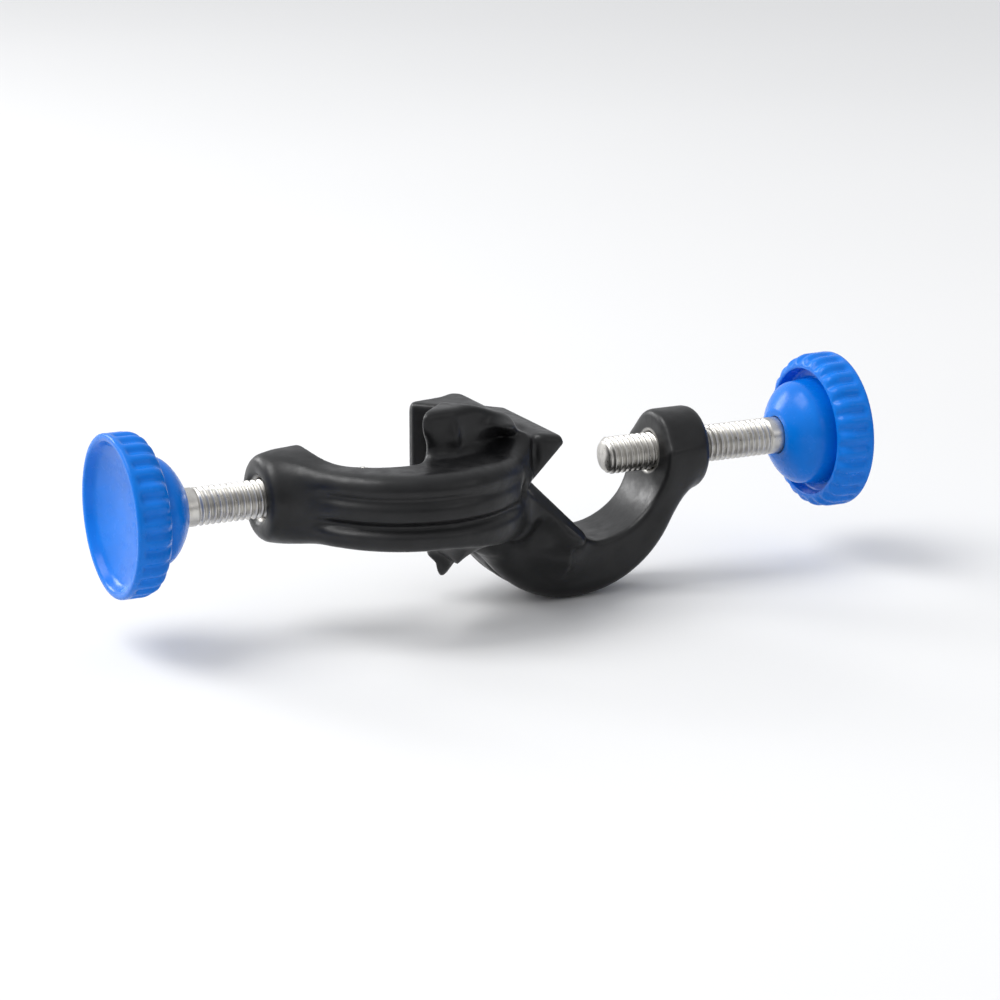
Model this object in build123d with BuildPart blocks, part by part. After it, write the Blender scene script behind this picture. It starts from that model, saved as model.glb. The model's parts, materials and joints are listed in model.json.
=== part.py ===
from build123d import *
import math
import os

# A right-angle boss head (clamp holder): one iron casting with two C-shaped jaws set at
# 90 degrees, and a knobbed thumbscrew in each jaw. Millimetres, +Z up.
# The origin is where the upright stand rod's axis crosses the common axis of the screws.
# X runs along the screws, the stand rod stands along Z, and the cross rod lies along Y.

# rods and jaws
rod_diameter = 10.0             # the rod that each V seat is centred on
cross_rod_diameter = 12.0       # the thicker rod that the right screw stands off for at rest
rod_spacing = 21.2              # stand rod axis to cross rod axis, along the screws
v_half_angle = 45.0             # each V seat opens 90 degrees

# V seat block: x is outward from the V, y is toward the arm, z is along the rod
seat_wall = 4.0                 # metal behind the V's root
free_lip = 4.3                  # how far the free flank of a V reaches across the rod
arm_lip = 8.4                   # the same for the flank that runs on into the arm
lip_wall = 1.6                  # thickness of the lips
seat_length = 18.0              # along the rod, where the flanks are full
horn_length = 22.6              # over the pointed ends on the arm side
horn_width = 1.6
horn_slope = 2.2

# the C arm round the rod
arm_width = 10.0                # along the rod
arm_outer_radius = 16.0
arm_outer_centre = (1.5, 1.8)
arm_turn_angle = 36.0           # where the arm's outside leaves its circle for the boss
throat_radius = 10.0            # inside of the C
throat_shift = 4.2              # centre of the C's inner quarter, outward of the rod axis
groove_depth = 1.0
groove_width = 1.5
groove_offset = 1.8             # groove centre to the arm's middle plane
groove_angles = (22.0, 128.0)   # where the grooves start and end, round the arm

# bosses and thumbscrews
boss_diameter = 11.0
boss_inner = 14.2               # boss faces, from the rod axis of the same jaw
boss_outer = 21.0
boss_foot_inset = 1.0           # the arm meets the boss this far inside its end and side
screw_diameter = 5.0            # M5 stud
screw_clearance = 0.05          # radial, in the tapped boss and in the knob
screw_chamfer = 0.6
countersink_depth = 0.9
bore_overrun = 1.0              # the bore also clears the arm's inner curve by the boss
screw_to_knob = 26.3            # tip of the stud to the domed end of the knob
screw_in_knob = 5.6             # length of stud held in the knob
screw_end_gap = 0.3

# knob, along its own axis from the domed end outward
knob_diameter = 21.0
knob_length = 9.4
dome_end_diameter = 6.8
dome_length = 3.0
dome_radius = 6.0
hub_diameter = 14.0
skirt_start = 4.5
skirt_round = 1.6               # radius of the skirt's back edge
recess_floor = 6.2              # floor of the ring recess between hub and skirt
recess_diameter = 17.2
recess_draft = 0.2
dish_depth = 2.0                # of the concave face, at its centre
dish_rim = 0.9
flute_count = 28
flute_radius = 0.8
flute_depth = 0.45

v_vertex = rod_diameter / 2 / math.sin(math.radians(v_half_angle))
cross_vertex = cross_rod_diameter / 2 / math.sin(math.radians(v_half_angle))
left_tip = rod_diameter / 2
right_tip = cross_vertex + cross_rod_diameter / 2 - v_vertex
boss_length = boss_outer - boss_inner

# each jaw's own plane: origin on its rod axis, x outward along the screw, y toward the arm
left_jaw = Plane(origin=(0, 0, 0), x_dir=(-1, 0, 0), z_dir=(0, 0, 1))
right_jaw = Plane(origin=(rod_spacing, 0, 0), x_dir=(1, 0, 0), z_dir=(0, 1, 0))


def square_to_screw(jaw, distance):
    """The plane square to a jaw's screw, at a distance outward from the jaw's rod axis."""
    return Plane(origin=jaw.origin + jaw.x_dir * distance, x_dir=jaw.y_dir, z_dir=jaw.x_dir)


def seat_outline(jaw):
    """Across the rod: a wall behind each flank of the V, running back to the web."""
    back = -v_vertex - seat_wall
    with BuildSketch(jaw) as outline:
        with BuildLine():
            Polyline(
                (-v_vertex, 0),
                (-v_vertex + free_lip, -free_lip),
                (-v_vertex + free_lip - lip_wall / 2, -free_lip - lip_wall),
                (back + lip_wall, -free_lip - lip_wall),
                (back, -free_lip),
                (back, free_lip),
                (-v_vertex + free_lip, arm_lip + lip_wall),
                (-v_vertex + arm_lip, arm_lip + lip_wall),
                (-v_vertex + arm_lip, arm_lip),
                close=True,
            )
        make_face()
    return outline.sketch


def seat_ends_outline(jaw):
    """Along the rod: square flanks, with a horn at each end where the lip joins the arm."""
    back = -v_vertex - seat_wall
    horn = -v_vertex + free_lip + horn_slope
    across = Plane(origin=jaw.origin, x_dir=jaw.x_dir, z_dir=jaw.y_dir)
    with BuildSketch(across) as outline:
        with BuildLine():
            half = Polyline(
                (back, 0),
                (back, seat_length / 2),
                (horn - horn_slope, seat_length / 2),
                (horn, horn_length / 2),
                (horn + horn_width, horn_length / 2),
                (-v_vertex + arm_lip, seat_length / 2),
                (-v_vertex + arm_lip, 0),
            )
            mirror(half, about=Plane.XZ)
        make_face()
    return outline.sketch


def make_seat(jaw):
    """The block that holds one V, before the V is cut."""
    with BuildPart() as seat:
        extrude(seat_outline(jaw), amount=horn_length / 2, both=True)
        extrude(seat_ends_outline(jaw), amount=horn_length, both=True, mode=Mode.INTERSECT)
    return seat.part


def arm_outline(jaw):
    """The solid C under the rod, from behind the V round to the boss."""
    turn = math.radians(arm_turn_angle)
    centre_x, centre_y = arm_outer_centre
    foot = boss_outer - boss_foot_inset
    with BuildSketch(jaw) as outline:
        with Locations(arm_outer_centre):
            Circle(arm_outer_radius)
        with BuildLine():
            Polyline(
                (0, 0),
                (0, throat_radius),
                (centre_x + arm_outer_radius * math.cos(turn), centre_y + arm_outer_radius * math.sin(turn)),
                (foot, boss_diameter / 2 - boss_foot_inset),
                (foot, 0),
                close=True,
            )
        make_face()
        with Locations((0, -boss_outer)):
            Rectangle(4 * boss_outer, 2 * boss_outer, mode=Mode.SUBTRACT)
    return outline.sketch


def throat_outline(jaw):
    """The C's open inside: the V, the floor under the rod and the quarter up to the boss."""
    with BuildSketch(jaw) as outline:
        with BuildLine():
            floor = Polyline(
                (-v_vertex, 0), (throat_radius - v_vertex, throat_radius), (throat_shift, throat_radius)
            )
            quarter = CenterArc((throat_shift, 0), throat_radius, 90, -90)
            Polyline(
                quarter @ 1,
                (boss_inner, -boss_outer),
                (-v_vertex + free_lip, -boss_outer),
                (-v_vertex + free_lip, -free_lip),
                floor @ 0,
            )
        make_face()
    return outline.sketch


def groove_outline(plane):
    """A band along the arm's outside, as deep as a groove."""
    first, last = groove_angles
    floor_radius = arm_outer_radius - groove_depth
    with BuildSketch(plane) as outline:
        with BuildLine():
            outside = CenterArc(arm_outer_centre, arm_outer_radius + groove_depth, first, last - first)
            floor = CenterArc(arm_outer_centre, floor_radius, first, last - first)
            Line(outside @ 0, floor @ 0)
            Line(outside @ 1, floor @ 1)
        make_face()
    return outline.sketch


with BuildPart() as casting:
    for jaw in (left_jaw, right_jaw):
        extrude(arm_outline(jaw), amount=arm_width / 2, both=True)
        add(make_seat(jaw))
        with BuildSketch(square_to_screw(jaw, boss_inner)):
            Circle(boss_diameter / 2)
        extrude(amount=boss_length)
    for jaw in (left_jaw, right_jaw):
        extrude(throat_outline(jaw), amount=seat_length, both=True, mode=Mode.SUBTRACT)
        for side in (-groove_offset, groove_offset):
            band = groove_outline(jaw.offset(side))
            extrude(band, amount=groove_width / 2, both=True, mode=Mode.SUBTRACT)
        with Locations(square_to_screw(jaw, boss_outer)):
            CounterSinkHole(
                radius=screw_diameter / 2 + screw_clearance,
                counter_sink_radius=screw_diameter / 2 + countersink_depth,
                depth=boss_length + bore_overrun,
            )


def make_stud(jaw, tip):
    """A threaded stud along the screw axis, its tip at a distance from the rod axis."""
    with BuildPart() as stud:
        with BuildSketch(square_to_screw(jaw, tip)):
            Circle(screw_diameter / 2)
        extrude(amount=screw_to_knob + screw_in_knob)
        chamfer(stud.edges().filter_by(GeomType.CIRCLE), screw_chamfer)
    return stud.part


def make_knob(jaw, tip):
    """A fluted knob: dome, hub, fluted skirt with a ring recess behind and a dished face."""
    start = tip + screw_to_knob
    hole_radius = screw_diameter / 2 + screw_clearance
    hole_end = screw_in_knob + screw_end_gap
    side = Plane(origin=jaw.origin + jaw.x_dir * start, x_dir=jaw.x_dir, z_dir=jaw.z_dir)
    rim_radius = knob_diameter / 2 - dish_rim
    dish_radius = (rim_radius**2 + dish_depth**2) / (2 * dish_depth)
    with BuildPart() as knob:
        with BuildSketch(side):
            with BuildLine():
                dome = RadiusArc(
                    (0, dome_end_diameter / 2), (dome_length, hub_diameter / 2), dome_radius
                )
                back_edge = RadiusArc(
                    (skirt_start, knob_diameter / 2 - skirt_round),
                    (skirt_start + skirt_round, knob_diameter / 2),
                    skirt_round,
                )
                dish = RadiusArc((knob_length, rim_radius), (knob_length - dish_depth, 0), -dish_radius)
                Polyline(
                    dome @ 1,
                    (recess_floor, hub_diameter / 2 + recess_draft),
                    (recess_floor, recess_diameter / 2 - recess_draft),
                    (skirt_start, recess_diameter / 2),
                    back_edge @ 0,
                )
                Polyline(back_edge @ 1, (knob_length, knob_diameter / 2), dish @ 0)
                Polyline(dish @ 1, (hole_end, 0), (hole_end, hole_radius), (0, hole_radius), dome @ 0)
            make_face()
        revolve(axis=Axis(side.origin, jaw.x_dir))
        with BuildSketch(square_to_screw(jaw, start + skirt_start)):
            with PolarLocations(knob_diameter / 2 + flute_radius - flute_depth, flute_count):
                Circle(flute_radius)
        extrude(amount=knob_length - skirt_start, mode=Mode.SUBTRACT)
    return knob.part


pieces = {
    "casting": casting.part,
    "left_screw": make_stud(left_jaw, left_tip),
    "left_knob": make_knob(left_jaw, left_tip),
    "right_screw": make_stud(right_jaw, right_tip),
    "right_knob": make_knob(right_jaw, right_tip),
}
os.makedirs("parts", exist_ok=True)
for name, piece in pieces.items():
    piece.label = name
    export_step(piece, f"parts/{name}.step")
    print(name, round(piece.volume, 1), piece.bounding_box(), len(piece.solids()))
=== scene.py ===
"""Looks of a right-angle boss head with two knobbed thumbscrews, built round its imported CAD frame.

The casting, studs and knobs are refined meshes in mesh code, each in the place of its CAD node.
Shapes are worked out in millimetres and the meshes are written in metres.
"""

import json
import math

import bpy
import numpy as np
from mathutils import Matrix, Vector


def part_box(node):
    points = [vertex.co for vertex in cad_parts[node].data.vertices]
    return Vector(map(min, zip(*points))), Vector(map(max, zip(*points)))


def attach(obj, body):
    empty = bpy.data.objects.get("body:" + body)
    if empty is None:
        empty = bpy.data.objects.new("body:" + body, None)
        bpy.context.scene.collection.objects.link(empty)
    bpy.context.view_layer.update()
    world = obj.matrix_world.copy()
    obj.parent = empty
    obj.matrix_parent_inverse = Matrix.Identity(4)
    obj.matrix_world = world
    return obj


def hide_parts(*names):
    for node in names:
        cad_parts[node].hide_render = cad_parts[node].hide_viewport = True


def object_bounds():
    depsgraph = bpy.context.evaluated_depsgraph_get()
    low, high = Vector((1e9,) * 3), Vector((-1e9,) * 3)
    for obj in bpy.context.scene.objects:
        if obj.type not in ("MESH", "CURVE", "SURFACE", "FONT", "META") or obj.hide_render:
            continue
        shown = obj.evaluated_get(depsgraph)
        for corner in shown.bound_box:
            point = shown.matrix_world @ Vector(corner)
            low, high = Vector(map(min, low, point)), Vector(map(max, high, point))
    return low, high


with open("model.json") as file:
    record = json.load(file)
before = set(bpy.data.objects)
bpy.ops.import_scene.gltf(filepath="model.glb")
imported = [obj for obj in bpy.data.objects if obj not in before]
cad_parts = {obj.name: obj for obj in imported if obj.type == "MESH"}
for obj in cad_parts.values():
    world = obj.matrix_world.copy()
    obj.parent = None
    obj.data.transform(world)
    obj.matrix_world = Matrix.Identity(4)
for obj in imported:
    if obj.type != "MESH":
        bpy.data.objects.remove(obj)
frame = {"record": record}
cad_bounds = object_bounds()

MM = 0.001
jaw_x = {
    mount["name"]: mount["pos_m"][0] / MM
    for mount in frame["record"]["mounts"]
    if mount["name"].endswith("_rod_jaw")
}
ROOT_HALF = math.sqrt(0.5)

# the casting: u is outward from a jaw's rod axis along its screw, v toward its arm, w along its rod
V_ROOT = 7.07                   # from the rod axis back to the root of the 90 degree V
FREE_LIP = 4.3                  # reach of the V's free flank across the rod
ARM_LIP = 8.4                   # reach of the flank that runs on into the arm
SEAT_WALL = 4.0                 # metal behind the V's root
SEAT_HALF = 9.0                 # half of the V's length along the rod
V_BEVEL = 1.1                   # the V's flanks fall away by this at the cusp's end,
V_BEVEL_RUN = 1.6               # over this length
V_ROOT_ROUND = 0.3
LIP_WALL = 1.6                  # thickness of both lips
ARM_HALF = 5.0                  # half of the arm's width along the rod
ARM_RADIUS = 16.0               # outside of the C
ARM_CENTRE = (1.5, 1.8)
ARM_TURN = math.radians(36)     # where the outside leaves its circle for the boss
THROAT_RADIUS = 10.0            # inside of the C
THROAT_SHIFT = 4.2
FLOOR_ROUND = 1.2               # between the V's arm-side flank and the C's floor
BOSS_RADIUS = 5.5
BOSS_INNER = 14.2
BOSS_OUTER = 21.0
BORE_RADIUS = 2.55
COUNTERSINK = 0.9
SINK_LIMIT = 2.0                # the countersink's cone stops growing beyond this
BORE_OVERRUN = 3.0              # the bore also clears the arm's inner curve by the boss
BARE_RING = (2.75, 3.3)         # bare metal round the bore fades to paint over these radii

# the arm's shape: angles are in radians round ARM_CENTRE, from the boss toward the V
GROOVE_START = (0.25, 0.6)      # both grooves fade in and out over these angles
GROOVE_STOP = (2.2, 2.6)
STRONG_GROOVE = (-1.6, 0.75)    # place across the arm and half width
STRONG_DEPTH = 1.0
WEAK_GROOVE = (1.9, 0.7)
WEAK_DEPTH = 0.55
WEAK_LOSS = 0.6                 # share of its depth that the weak groove loses
WEAK_LOSS_ANGLES = (1.5, 2.1)
ARM_ROUND = 2.6                 # rounding of the arm's long edges
ARM_TOP_ROUND = 0.5
ARM_THINNING = 0.7              # under the boss
ARM_FOOT = 3.6                  # the arm ends this far short of the boss's outer face
ARM_FOOT_ROUND = 1.5
EDGE_SWELL = 3.0                # the inner edge on the cusp's side widens beside the V
EDGE_SWELL_PLACE = -1.7
EDGE_SWELL_SPREAD = 3.2
EDGE_SWELL_BAND = (0.5, 4.5)    # and fades over this distance out from the throat
SIDE_SWELL = 1.2                # the whole of that side widens toward the V
SIDE_SWELL_ANGLES = (1.5, 2.4)

# the block's shape
BACK_SLOPE = 0.3                # of the wall that runs down to the arm, v against u
BACK_REACH = 10.2
BACK_SCALE = 0.958              # makes that slope a distance, as FREE_SCALE does
FREE_SLOPE = 0.2                # of the block's free end
FREE_PIVOT = 2.9
FREE_SCALE = 0.98
LIP_SWELL = 1.4                 # the arm-side lip reaches farther at the ear's end
LIP_SWELL_SPAN = (6.5, 9.5)
FLARE = 3.2                     # a hollow behind the lip on the cusp's side
FLARE_BEHIND = (1.0, 4.4)
FLARE_ALONG = (3.0, 7.0)
EAR = 2.3
EAR_ALONG = (0.5, 7.5)
CUSP = 2.2
CUSP_ALONG = (9.5, 1.8)         # place along the flank and half width
CUSP_CUT = 1.5
CUSP_CUT_ALONG = (10.5, 12.5)

# cast fillets, by the shapes they join
BOSS_FILLET = 4.0
SEAT_FILLET = 1.6
JAW_FILLET = 2.6
THROAT_FILLET = 0.9
BORE_FILLET = 0.25

SKIN_PITCH = 0.25               # grid spacing of the casting's skin
SKIN_MARGIN = 4                 # grid cells kept free outside the casting's box
EDGE_STEP = 0.5                 # distance over which the skin's curvature is read

# thumbscrews
STUD_RADIUS = 2.5
THREAD_PITCH = 0.8
THREAD_DEPTH = 0.42
TOOTH_SLOPE = 2.6               # flanks of the thread's groove, and how wide its crest is
TOOTH_CREST = 0.25
TIP_CHAMFER = 0.6
SHANK_LENGTH = 1.4              # plain length just before the knob
HELD_LENGTH = 5.6               # of the stud, inside the knob
KNOB_RADIUS = 10.5
KNOB_LENGTH = 9.4
KNOB_BORE_RADIUS = 2.55
KNOB_BORE_GAP = 0.3             # of the blind bore, past the stud's end
DOME_LENGTH = 3.4
DOME_END_RADIUS = 3.4
DOME_RISE = 3.6
DOME_POWER = 0.9
SKIRT_START = 4.5
SKIRT_BACK = (1.3, 0.5)         # how far the skirt's back edge is rounded in, in two steps
RECESS_FLOOR = 6.2
RECESS_RADII = (7.2, 8.4, 8.6)  # at the hub, at the skirt and at the skirt's back edge
FLUTES = 28
FLUTE_DEPTH = 0.45
FLUTE_POWER = 1.4               # narrows the flutes against the lands between them
FLUTE_FADE = (8.2, 8.7)         # they fade out here, before the plain rim
DISH_RIM = 0.9                  # width of the plain rim round the dished face
DISH_STEP = 1.2                 # drop inside the rim, before the bowl
DISH_DEPTH = 2.6
BOWL_INSET = 0.7                # of the step's foot, inside the rim


# ---------------------------------------------------------------- mesh helpers
def new_object(name, points_mm, faces, values=None):
    """A smooth mesh object from points in millimetres; values are named numbers, one per point."""
    mesh = bpy.data.meshes.new(name)
    mesh.from_pydata((np.asarray(points_mm) * MM).tolist(), [], [list(f) for f in faces])
    mesh.polygons.foreach_set("use_smooth", [True] * len(mesh.polygons))
    for key, numbers in (values or {}).items():
        layer = mesh.attributes.new(key, "FLOAT", "POINT")
        layer.data.foreach_set("value", np.asarray(numbers, np.float32))
    mesh.update()
    made = bpy.data.objects.new(name, mesh)
    bpy.context.scene.collection.objects.link(made)
    return made


def place(piece, node, finish):
    """The piece stands for its CAD node, rides on that node's body and gets its material."""
    piece.data.materials.append(finish)
    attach(piece, node)
    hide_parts(node)


def turned(name, rings, steps, origin, direction):
    """A solid of revolution along X, closed by two poles.

    rings are (distance along X from the origin, radius at each angle).
    """
    angles = np.arange(steps) * 2 * math.pi / steps
    first, last = rings[0][0], rings[-1][0]
    points = [(origin + direction * first, 0, 0)]
    for distance, radii in rings:
        x = np.full(steps, origin + direction * distance)
        y, z = radii * np.cos(angles), direction * radii * np.sin(angles)
        points += np.stack([x, y, z], 1).tolist()
    points.append((origin + direction * last, 0, 0))
    faces = []
    top = len(points) - 1
    for i in range(steps):
        j = (i + 1) % steps
        faces.append((0, 1 + j, 1 + i))
        faces.append((top, top - steps + i, top - steps + j))
    for r in range(len(rings) - 1):
        low = 1 + r * steps
        for i in range(steps):
            j = (i + 1) % steps
            faces.append((low + i, low + j, low + steps + j, low + steps + i))
    return new_object(name, points, faces)


# ---------------------------------------------------------------- casting
def soft_min(a, b, reach):
    """The smaller of two distances, blended where they are closer than reach: a cast fillet."""
    h = np.clip(0.5 + 0.5 * (b - a) / reach, 0, 1)
    return b + (a - b) * h - reach * h * (1 - h)


def soft_max(a, b, reach):
    return -soft_min(-a, -b, reach)


def rise(x, low, high):
    """0 below low, 1 above high, smooth in between."""
    t = np.clip((x - low) / (high - low), 0, 1)
    return t * t * (3 - 2 * t)


def bump(x, centre, width):
    return np.exp(-(((x - centre) / width) ** 2))


def throat(u, v, w):
    """Negative inside the open C: between the V's flanks, over the floor and up to the boss."""
    bevel = V_BEVEL * rise(-w, SEAT_HALF - V_BEVEL_RUN, SEAT_HALF)
    flank = (v - u - V_ROOT) * ROOT_HALF - bevel
    quarter = np.hypot(np.maximum(u - THROAT_SHIFT, 0), np.maximum(v, 0)) - THROAT_RADIUS
    arm_side = soft_max(flank, quarter, FLOOR_ROUND)
    free_side = np.minimum((-v - u - V_ROOT) * ROOT_HALF - 0.5 * bevel, FREE_LIP - V_ROOT - u)
    return soft_max(arm_side, free_side, V_ROOT_ROUND)


def arm(u, v, w):
    """The C round the rod: two grooves leave three ridges outside, and its inner edge swells."""
    cu, cv = ARM_CENTRE
    angle = np.arctan2(v - cv, u - cu)
    slope = (u - cu) * math.cos(ARM_TURN) + (v - cv) * math.sin(ARM_TURN) - ARM_RADIUS
    round_part = np.hypot(u - cu, v - cv) - ARM_RADIUS
    outside = np.where((angle > ARM_TURN) | (angle < ARM_TURN - math.pi), round_part, slope)
    along = rise(angle, *GROOVE_START) * (1 - rise(angle, *GROOVE_STOP))
    strong = STRONG_DEPTH * bump(w, *STRONG_GROOVE) * along
    kept = 1 - WEAK_LOSS * rise(angle, *WEAK_LOSS_ANGLES)
    weak = WEAK_DEPTH * bump(w, *WEAK_GROOVE) * along * kept
    outside = outside + strong + weak
    inner_edge = 1 - rise(np.hypot(u, v - 1) - THROAT_RADIUS, *EDGE_SWELL_BAND)
    beside_v = np.exp(-np.abs(u - EDGE_SWELL_PLACE) / EDGE_SWELL_SPREAD)
    swell = EDGE_SWELL * beside_v * inner_edge + SIDE_SWELL * rise(angle, *SIDE_SWELL_ANGLES)
    sides = np.abs(w) - ARM_HALF - np.where(w < 0, swell, 0.0)
    thinning = ARM_THINNING * rise(u, BOSS_INNER, BOSS_OUTER - 2)
    bar = soft_max(outside, sides, ARM_ROUND) + thinning
    bar = soft_max(bar, -v, ARM_TOP_ROUND)
    return soft_max(bar, u - BOSS_OUTER + ARM_FOOT, ARM_FOOT_ROUND)


def boss(u, v, w):
    radial = np.hypot(v, w) - BOSS_RADIUS
    middle = (BOSS_INNER + BOSS_OUTER) / 2
    ends = np.abs(u - middle) - (BOSS_OUTER - BOSS_INNER) / 2
    return soft_max(radial, ends, 1.6)


def seat(u, v, w):
    """The block behind one V. Its arm-side lip rises into an ear, and the free side slopes away."""
    behind = (v - u - V_ROOT) * ROOT_HALF
    along = (v + u + V_ROOT) * ROOT_HALF
    back = (v - u * BACK_SLOPE - BACK_REACH) * BACK_SCALE
    free_end = (-v - FREE_LIP - LIP_WALL + FREE_SLOPE * (u + FREE_PIVOT)) * FREE_SCALE
    body = soft_max(back, v - ARM_LIP - LIP_WALL, 1.5)
    body = soft_max(body, -V_ROOT - SEAT_WALL - u, 2.0)
    body = soft_max(body, free_end, 1.4)
    body = soft_max(body, u + V_ROOT - ARM_LIP - LIP_SWELL * rise(w, *LIP_SWELL_SPAN), 1.8)
    flare = FLARE * rise(behind, *FLARE_BEHIND) * rise(along, *FLARE_ALONG)
    ear = EAR * rise(along, *EAR_ALONG)
    cusp = CUSP * bump(along, *CUSP_ALONG) - CUSP_CUT * rise(along, *CUSP_CUT_ALONG) - flare
    length = SEAT_HALF + np.where(w > 0, ear, cusp)
    return soft_max(body, np.abs(w) - length, 1.2)


def relief(u, v, w):
    """Height of the cast-in ridges over the pockets on the outer side of the block.

    Each is a height times two bumps, whose numbers are their place and half width.
    """
    back_ridge = 0.7 * bump(w, 8.3, 0.9) * bump(u, -9.8, 2.8)
    lip_ridge = 0.6 * bump(u, -2.4, 0.9) * bump(w, 7.6, 1.8)
    pocket = 0.8 * bump(w, 6.2, 0.85) * bump(u, -10.4, 3.0)
    long_groove = 1.0 * bump(u, -14.2, 0.8) * bump(w, 3.8, 2.6)
    short_groove = 0.8 * bump(u, -11.4, 0.7) * bump(w, -0.3, 1.1)
    outer_side = rise(v, 2.0, 5.0)
    return (back_ridge + lip_ridge - pocket - (long_groove + short_groove)) * outer_side


def bore(u, v, w):
    """Negative inside the tapped hole, with its countersink on the outer end."""
    radial = np.hypot(v, w)
    sink = radial - BORE_RADIUS - np.clip(u - BOSS_OUTER + COUNTERSINK, 0, SINK_LIMIT)
    return np.maximum(sink, BOSS_INNER - BORE_OVERRUN - u)


def jaw_coordinates(points, jaw):
    x, y, z = points[..., 0], points[..., 1], points[..., 2]
    if jaw == "stand_rod_jaw":
        return -(x - jaw_x[jaw]), -y, z
    return x - jaw_x[jaw], -z, y


def casting_distance(points):
    """Signed distance to the casting's skin, nearly: two jaws, joined with cast fillets."""
    solid = space = None
    for jaw in jaw_x:
        u, v, w = jaw_coordinates(points, jaw)
        body = soft_min(arm(u, v, w), boss(u, v, w), BOSS_FILLET)
        body = soft_min(body, seat(u, v, w), SEAT_FILLET)
        solid = body if solid is None else soft_min(solid, body, JAW_FILLET)
        open_part = throat(u, v, w)
        space = open_part if space is None else np.minimum(space, open_part)
    for jaw in jaw_x:
        solid = solid - relief(*jaw_coordinates(points, jaw))
    solid = soft_max(solid, -space, THROAT_FILLET)
    for jaw in jaw_x:
        solid = soft_max(solid, -bore(*jaw_coordinates(points, jaw)), BORE_FILLET)
    return solid


def surface_net(field, low, pitch):
    """Points and quads of a sampled field's zero surface, one point in each cell it crosses."""
    inside = field < 0
    shape = np.array(field.shape) - 1
    corners = [(i, j, k) for i in (0, 1) for j in (0, 1) for k in (0, 1)]

    def at(array, c):
        return array[tuple(slice(o, o + n) for o, n in zip(c, shape))]

    count = sum(at(inside, c).astype(np.int8) for c in corners)
    cells = np.argwhere((count > 0) & (count < 8))
    index = np.full(shape, -1, np.int64)
    index[tuple(cells.T)] = np.arange(len(cells))
    total = np.zeros((len(cells), 3))
    hits = np.zeros(len(cells))
    for a in range(3):
        for c in corners:
            if c[a]:
                continue
            d = tuple(o + (n == a) for n, o in enumerate(c))
            f0 = field[tuple((cells + c).T)]
            f1 = field[tuple((cells + d).T)]
            crossed = (f0 < 0) != (f1 < 0)
            t = f0[crossed] / (f0[crossed] - f1[crossed])
            spot = cells[crossed] + np.array(c, float)
            spot[:, a] += t
            total[crossed] += spot
            hits[crossed] += 1
    points = low + pitch * total / hits[:, None]
    quads = []
    for a in range(3):
        b, c = (a + 1) % 3, (a + 2) % 3
        here = [slice(1, -1)] * 3
        here[a] = slice(0, -1)
        there = list(here)
        there[a] = slice(1, None)
        first, second = inside[tuple(here)], inside[tuple(there)]
        for flag, order in ((first & ~second, (0, 1, 3, 2)), (second & ~first, (0, 2, 3, 1))):
            edge = np.argwhere(flag)
            edge[:, b] += 1
            edge[:, c] += 1
            around = []
            for db, dc in ((1, 1), (0, 1), (1, 0), (0, 0)):
                cell = edge.copy()
                cell[:, b] -= db
                cell[:, c] -= dc
                around.append(index[tuple(cell.T)])
            quads.append(np.stack([around[n] for n in order], 1))
    return points, np.concatenate(quads)


def gradient(distance, points, step=0.05):
    parts = []
    for a in range(3):
        shift = np.zeros(3)
        shift[a] = step
        parts.append((distance(points + shift) - distance(points - shift)) / (2 * step))
    return np.stack(parts, -1)


def make_casting():
    low, high = (np.array(c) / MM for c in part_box("casting"))
    low = low - SKIN_MARGIN * SKIN_PITCH
    counts = np.ceil((high - low) / SKIN_PITCH).astype(int) + SKIN_MARGIN + 1
    axes = [low[a] + SKIN_PITCH * np.arange(counts[a]) for a in range(3)]
    grid = np.stack(np.meshgrid(*axes, indexing="ij"), -1)
    points, quads = surface_net(casting_distance(grid), low, SKIN_PITCH)
    for _ in range(2):
        slope = gradient(casting_distance, points)
        points -= slope * (casting_distance(points) / (slope**2).sum(1).clip(0.2))[:, None]
    # the skin's convexity, read from its curvature; the enamel uses it for a painted highlight on
    # convex edges
    around = sum(
        casting_distance(points + EDGE_STEP * s * np.eye(3)[a]) for a in range(3) for s in (-1, 1)
    )
    edge = np.clip(around / EDGE_STEP**2 / 3, 0, 1)
    bare = np.zeros(len(points))
    for jaw in jaw_x:
        u, v, w = jaw_coordinates(points, jaw)
        near_bore = 1 - rise(np.hypot(v, w), *BARE_RING)
        bare = np.maximum(bare, near_bore * (u > BOSS_INNER - BORE_OVERRUN))
    return new_object("cast_body", points, quads, {"edge": edge, "bare": bare})


# ---------------------------------------------------------------- thumbscrews
def make_stud(name, tip, length, direction):
    """A right-hand threaded stud along X from its tip, chamfered at both ends."""
    steps = 48
    cuts_in_pitch = 12
    angles = np.arange(steps) * 2 * math.pi / steps
    cuts = np.arange(0, length, THREAD_PITCH / cuts_in_pitch)
    thread_end = length - HELD_LENGTH - SHANK_LENGTH
    rings = []
    for s in list(cuts) + [length]:
        phase = (s / THREAD_PITCH - angles / (2 * math.pi)) % 1
        tooth = np.clip(np.abs(phase - 0.5) * TOOTH_SLOPE - TOOTH_CREST, 0, 1)
        depth = THREAD_DEPTH * tooth * (1 - rise(s, thread_end - THREAD_PITCH, thread_end))
        end = min(s, length - s)
        limit = STUD_RADIUS - max(0, TIP_CHAMFER - end)
        rings.append((s, np.minimum(STUD_RADIUS - depth, limit)))
    return turned(name, rings, steps, tip, direction)


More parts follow.
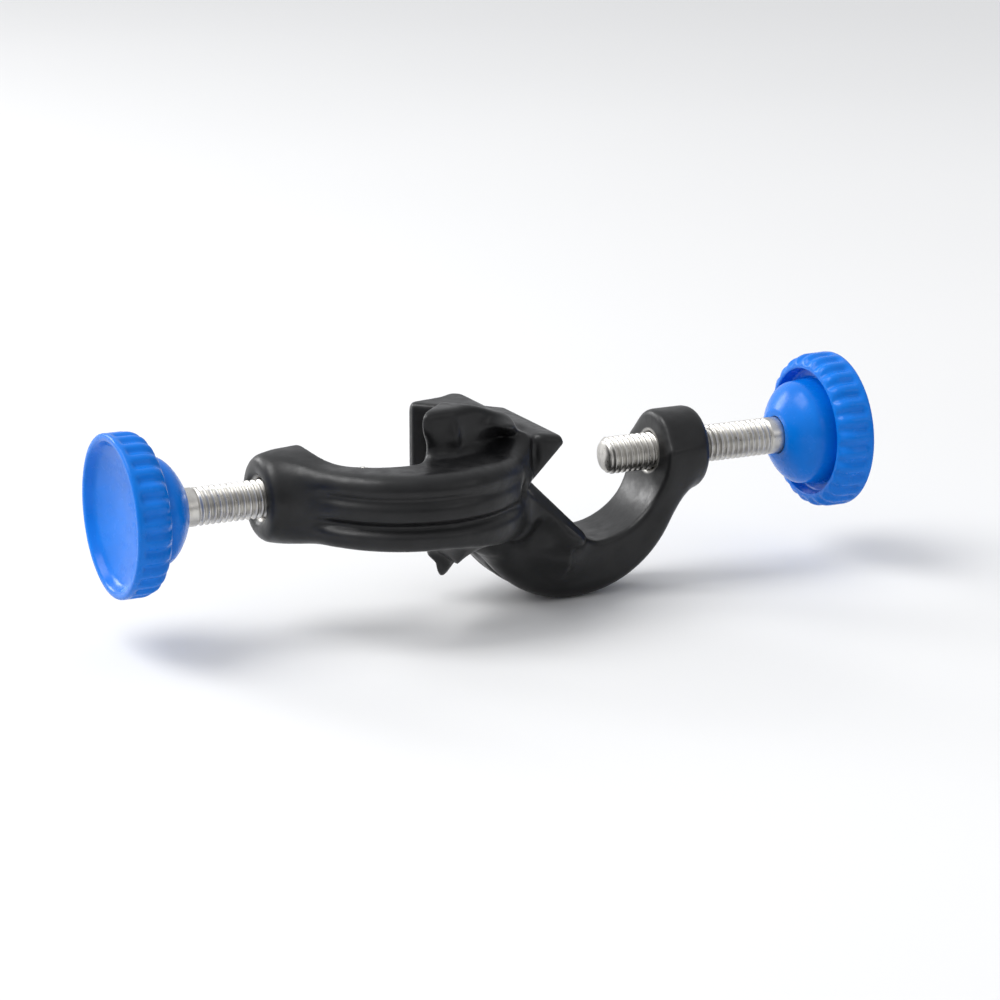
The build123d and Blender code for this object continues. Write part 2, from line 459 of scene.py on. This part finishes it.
def rounded(corners, samples=6):
    """A polyline whose corners (distance, radius, rounding) are replaced by small curves."""
    out = []
    for i, (s, r, cut) in enumerate(corners):
        here = np.array([s, r], float)
        if cut == 0 or i in (0, len(corners) - 1):
            out.append(here)
            continue
        arms = []
        for other in (corners[i - 1], corners[i + 1]):
            reach = np.array(other[:2], float) - here
            arms.append(here + reach / np.linalg.norm(reach) * cut)
        for t in np.linspace(0, 1, samples):
            out.append((1 - t) ** 2 * arms[0] + 2 * t * (1 - t) * here + t**2 * arms[1])
    return out


def resampled(points, spacing):
    """Extra points on the long runs of a polyline."""
    out = [points[0]]
    for a, b in zip(points, points[1:]):
        n = max(1, int(np.linalg.norm(b - a) / spacing))
        out += [a + (b - a) * k / n for k in range(1, n + 1)]
    return out


def knob_profile():
    """(distance from the domed end, radius) round one side, from the bore to the dish."""
    rim = KNOB_RADIUS - DISH_RIM
    bowl = rim - BOWL_INSET
    ball = (bowl**2 + (DISH_DEPTH - DISH_STEP) ** 2) / (2 * (DISH_DEPTH - DISH_STEP))
    dish = [(KNOB_LENGTH - DISH_DEPTH + ball - math.sqrt(ball**2 - r**2), r, 0)
            for r in np.linspace(bowl - 0.6, 0.3, 14)]
    dome = [(DOME_LENGTH * t,
             DOME_END_RADIUS + DOME_RISE * math.sin(t * math.pi / 2) ** DOME_POWER, 0)
            for t in np.linspace(0.12, 1, 9)]
    at_hub, at_skirt, at_back = RECESS_RADII
    outline = [
        (HELD_LENGTH + KNOB_BORE_GAP, KNOB_BORE_RADIUS, 0.1),
        (0.0, KNOB_BORE_RADIUS, 0.15),
        (0.0, DOME_END_RADIUS, 0.25),
        *dome,
        (RECESS_FLOOR, at_hub, 0.4),
        (RECESS_FLOOR, at_skirt, 0.4),
        (SKIRT_START, at_back, 0.2),
        (SKIRT_START, KNOB_RADIUS - SKIRT_BACK[0], 0.3),
        (SKIRT_START + 0.5, KNOB_RADIUS - SKIRT_BACK[1], 0.5),
        (6.1, KNOB_RADIUS, 0.6),
        (KNOB_LENGTH, KNOB_RADIUS, 0.45),
        (KNOB_LENGTH, rim, 0.35),
        (KNOB_LENGTH - DISH_STEP, bowl, 0.5),
        *dish,
    ]
    return resampled(rounded(outline), 0.3)


def make_knob(name, start, direction):
    """A moulded knob: bored dome and hub, ring recess, fluted skirt and a dished face."""
    steps = FLUTES * 12
    angles = np.arange(steps) * 2 * math.pi / steps
    wave = (0.5 + 0.5 * np.cos(FLUTES * angles)) ** FLUTE_POWER
    rings = []
    for s, r in knob_profile():
        on_skirt = rise(r, KNOB_RADIUS - 1.6, KNOB_RADIUS - 0.6) * (1 - rise(s, *FLUTE_FADE))
        rings.append((s, r - FLUTE_DEPTH * wave * on_skirt))
    return turned(name, rings, steps, start, direction)


# ---------------------------------------------------------------- materials
class Shader:
    """A node material under construction."""

    def __init__(self, name, **sockets):
        self.material = bpy.data.materials.new(name)
        self.material.use_nodes = True
        self.tree = self.material.node_tree
        self.surface = self.tree.nodes["Principled BSDF"]
        for key, value in sockets.items():
            self.surface.inputs[key.replace("_", " ")].default_value = value
        self.place = self.node("ShaderNodeTexCoord").outputs["Object"]

    def node(self, kind, **settings):
        made = self.tree.nodes.new(kind)
        for key, value in settings.items():
            setattr(made, key, value)
        return made

    def link(self, source, target):
        self.tree.links.new(source, target)

    def noise(self, size_mm, detail=2.0):
        """A noise pattern with features of about this size."""
        made = self.node("ShaderNodeTexNoise")
        made.inputs["Scale"].default_value = 1 / (size_mm * MM)
        made.inputs["Detail"].default_value = detail
        self.link(self.place, made.inputs["Vector"])
        return made.outputs["Fac"]

    def value(self, name):
        return self.node("ShaderNodeAttribute", attribute_name=name).outputs["Fac"]

    def spread(self, source, low, high, start=0.3, stop=0.7):
        """source from start to stop becomes low to high."""
        made = self.node("ShaderNodeMapRange")
        numbers = {"From Min": start, "From Max": stop, "To Min": low, "To Max": high}
        for key, number in numbers.items():
            made.inputs[key].default_value = number
        self.link(source, made.inputs["Value"])
        return made.outputs["Result"]

    def blend(self, factor, first, second):
        """A colour between two, by factor."""
        made = self.node("ShaderNodeMix", data_type="RGBA")
        self.link(factor, made.inputs["Factor"])
        for colour, key in ((first, "A"), (second, "B")):
            socket = [s for s in made.inputs if s.name == key and s.type == "RGBA"][0]
            if isinstance(colour, tuple):
                socket.default_value = (*colour, 1)
            else:
                self.link(colour, socket)
        return [s for s in made.outputs if s.type == "RGBA"][0]

    def relief(self, layers):
        """Bumps, each (source, height in mm, strength), one after another on the surface normal."""
        normal = None
        for source, height, strength in layers:
            made = self.node("ShaderNodeBump")
            made.inputs["Distance"].default_value = height * MM
            made.inputs["Strength"].default_value = strength
            self.link(source, made.inputs["Height"])
            if normal is not None:
                self.link(normal, made.inputs["Normal"])
            normal = made.outputs["Normal"]
        self.link(normal, self.surface.inputs["Normal"])


def black_enamel():
    """Semi-gloss enamel over the casting: orange peel, soft cast waviness, and a painted highlight
    that lightens the paint on convex edges.
    """
    s = Shader("black_enamel_cast", Specular_IOR_Level=0.36)
    mottle = s.spread(s.noise(3.0, 4), 0, 1)
    paint = s.blend(mottle, (0.0032, 0.0033, 0.0037), (0.0080, 0.0081, 0.0088))
    # painted highlight: the paint turns lighter where the skin is convex, along the casting's edges
    # and ridges
    painted_edge_highlight = s.spread(s.value("edge"), 0, 0.5, 0.35, 1.0)
    paint = s.blend(painted_edge_highlight, paint, (0.022, 0.022, 0.023))
    metal = s.spread(s.value("bare"), 0, 1, 0.2, 0.8)
    s.link(s.blend(metal, paint, (0.42, 0.41, 0.39)), s.surface.inputs["Base Color"])
    s.link(metal, s.surface.inputs["Metallic"])
    s.link(s.spread(s.noise(1.6, 3), 0.30, 0.46), s.surface.inputs["Roughness"])
    s.relief([(s.noise(5.0, 2), 0.5, 0.25), (s.noise(0.7, 2), 0.05, 0.35)])
    return s.material


def plated_steel():
    """Bright plated screw steel with faint tool marks and a slightly warm tone."""
    s = Shader("plated_steel_thread", Metallic=1.0)
    tone = s.spread(s.noise(1.4, 3), 0, 1)
    s.link(s.blend(tone, (0.46, 0.445, 0.42), (0.64, 0.625, 0.59)), s.surface.inputs["Base Color"])
    s.link(s.spread(s.noise(0.5, 3), 0.26, 0.40), s.surface.inputs["Roughness"])
    s.relief([(s.noise(0.35, 3), 0.01, 0.3)])
    return s.material


def blue_plastic():
    """Gloss moulded plastic, very slightly uneven in colour and polish."""
    s = Shader("blue_plastic_moulded", Specular_IOR_Level=0.2)
    tone = s.spread(s.noise(6.0, 3), 0, 1)
    colour = s.blend(tone, (0.0004, 0.150, 0.62), (0.0008, 0.182, 0.73))
    s.link(colour, s.surface.inputs["Base Color"])
    s.link(s.spread(s.noise(1.2, 3), 0.20, 0.30), s.surface.inputs["Roughness"])
    s.relief([(s.noise(4.0, 2), 0.12, 0.2), (s.noise(0.5, 2), 0.012, 0.25)])
    return s.material


def floor_paper():
    s = Shader("pale_floor", Roughness=0.7)
    s.link(s.blend(s.spread(s.noise(300.0, 2), 0, 1), (0.74, 0.74, 0.74), (0.77, 0.77, 0.77)),
           s.surface.inputs["Base Color"])
    return s.material


# ---------------------------------------------------------------- the pieces
stud_length = (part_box("left_screw")[1].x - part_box("left_screw")[0].x) / MM

place(make_casting(), "casting", black_enamel())
steel, blue = plated_steel(), blue_plastic()
for side, direction in (("left", -1), ("right", 1)):
    near = 1 if direction < 0 else 0
    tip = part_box(side + "_screw")[near].x / MM
    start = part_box(side + "_knob")[near].x / MM
    stud = make_stud(side + "_threaded_stud", tip, stud_length, direction)
    knob = make_knob(side + "_fluted_knob", start, direction)
    place(stud, side + "_screw", steel)
    place(knob, side + "_knob", blue)


# ---------------------------------------------------------------- floor, light and camera
def aim(thing, target):
    away = Vector(target) - thing.location
    thing.rotation_euler = away.to_track_quat("-Z", "Y").to_euler()


def soft_light(name, spot, target, size, power):
    data = bpy.data.lights.new(name, "AREA")
    data.shape = "RECTANGLE"
    data.size, data.size_y = size
    data.energy = power
    lamp = bpy.data.objects.new(name, data)
    bpy.context.scene.collection.objects.link(lamp)
    lamp.location = spot
    aim(lamp, target)


low, high = cad_bounds
middle = (low + high) / 2
size = (high - low).length

reach = 40 * size
floor = new_object("floor", [(x * reach / MM, y * reach / MM, low.z / MM - 0.05)
                             for x, y in ((-1, -1), (1, -1), (1, 1), (-1, 1))], [(0, 1, 2, 3)])
floor.data.materials.append(floor_paper())

world = bpy.data.worlds.new("studio")
world.use_nodes = True
sky = world.node_tree
facing = sky.nodes.new("ShaderNodeVectorMath")
facing.operation = "DOT_PRODUCT"
facing.inputs[1].default_value = (-0.35, 0.45, 0.82)
sky.links.new(sky.nodes.new("ShaderNodeTexCoord").outputs["Generated"], facing.inputs[0])
shade = sky.nodes.new("ShaderNodeMapRange")
for key, number in (("From Min", -0.3), ("From Max", 0.8), ("To Min", 0.30), ("To Max", 0.98)):
    shade.inputs[key].default_value = number
sky.links.new(facing.outputs["Value"], shade.inputs["Value"])
sky.links.new(shade.outputs["Result"], sky.nodes["Background"].inputs["Strength"])
sky.nodes["Background"].inputs["Color"].default_value = (0.97, 0.98, 1.0, 1)
bpy.context.scene.world = world
bpy.context.scene.view_settings.view_transform = "Standard"

soft_light("key", middle + Vector((-0.32, 0.12, 0.52)), middle, (0.35, 0.35), 2.4)
soft_light("left_back", middle + Vector((-0.32, 0.60, 0.26)), middle, (0.22, 0.22), 1.6)
soft_light("fill", middle + Vector((0.35, -0.55, 0.30)), middle, (0.40, 0.30), 0.35)

camera_data = bpy.data.cameras.new("camera")
camera_data.sensor_width = 36
camera_data.lens = 130
camera_data.clip_start = 0.01
camera_data.clip_end = 100
camera = bpy.data.objects.new("camera", camera_data)
bpy.context.scene.collection.objects.link(camera)
camera.location = (-0.1859, -0.4114, 0.1208)
aim(camera, middle)
bpy.context.scene.camera = camera
